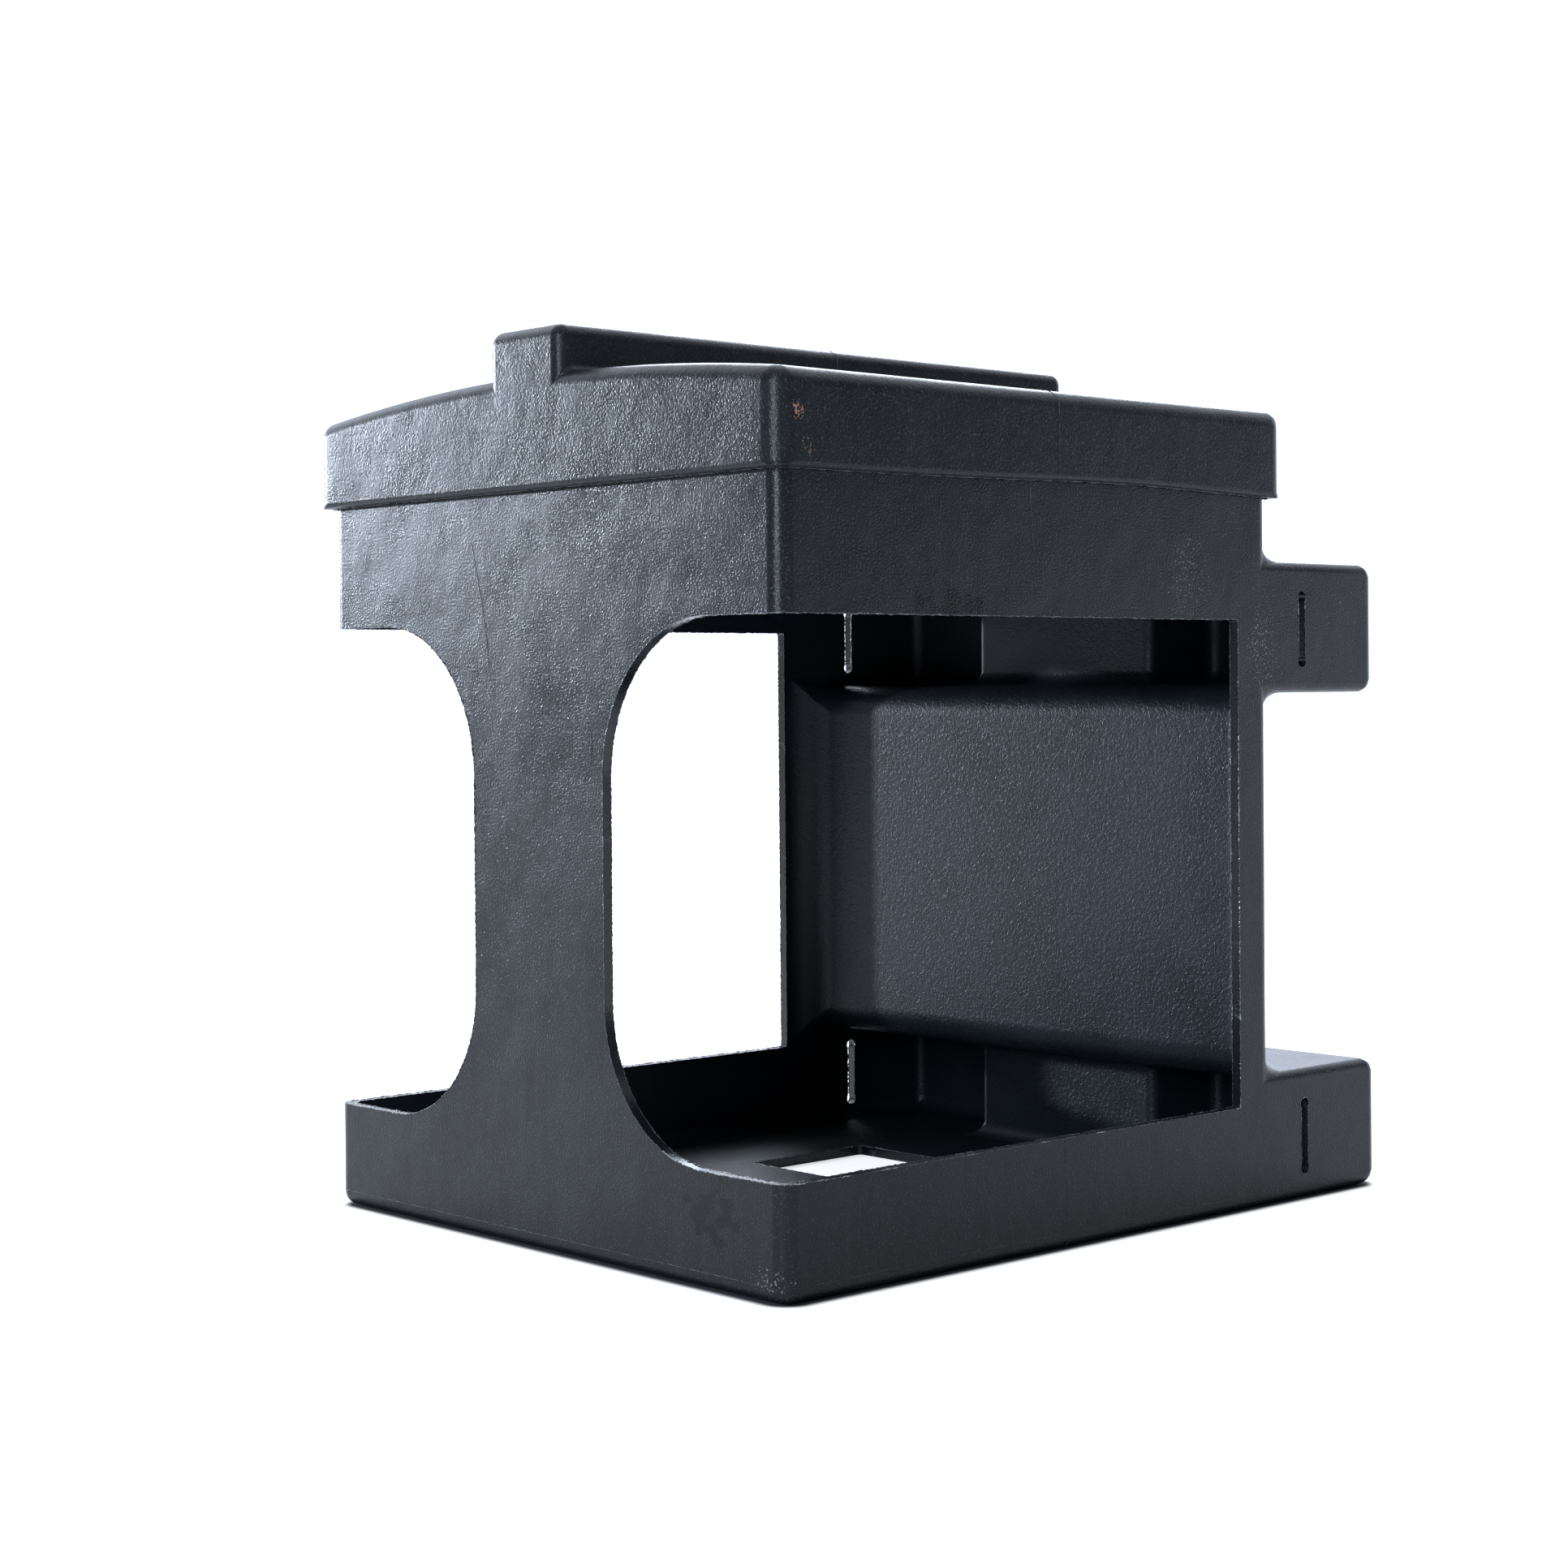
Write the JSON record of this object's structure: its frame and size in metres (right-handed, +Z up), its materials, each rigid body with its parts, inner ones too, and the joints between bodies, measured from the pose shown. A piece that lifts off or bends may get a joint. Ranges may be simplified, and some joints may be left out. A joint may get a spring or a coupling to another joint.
{
  "type": "covered lick feeder",
  "caption": "Moulded lick feeder: open-cornered tray and shell, strap ears with a post groove behind, loose arched lid with a ridge bar.",
  "frame": {"origin": "on the ground, at the centre of the whole footprint with the lid on", "axes": "+Z up, -Y out of the front face with the column, +Y out of the strap ears, +X to the right seen from the front"},
  "size_m": [0.414, 0.504, 0.508],
  "materials": {
    "shell_plastic": "rotomoulded black polyethylene, fine pebble grain",
    "lid_plastic": "rotomoulded black polyethylene, fine pebble grain"
  },
  "bodies": {
    "body": {"body_shell": "shell_plastic"},
    "lid": {"lid": "lid_plastic"}
  },
  "joints": [
    {"name": "lid_lift", "type": "slide", "parent": "body", "child": "lid", "axis": [0, 0, 1], "range_m": [0, 0.1]}
  ]
}
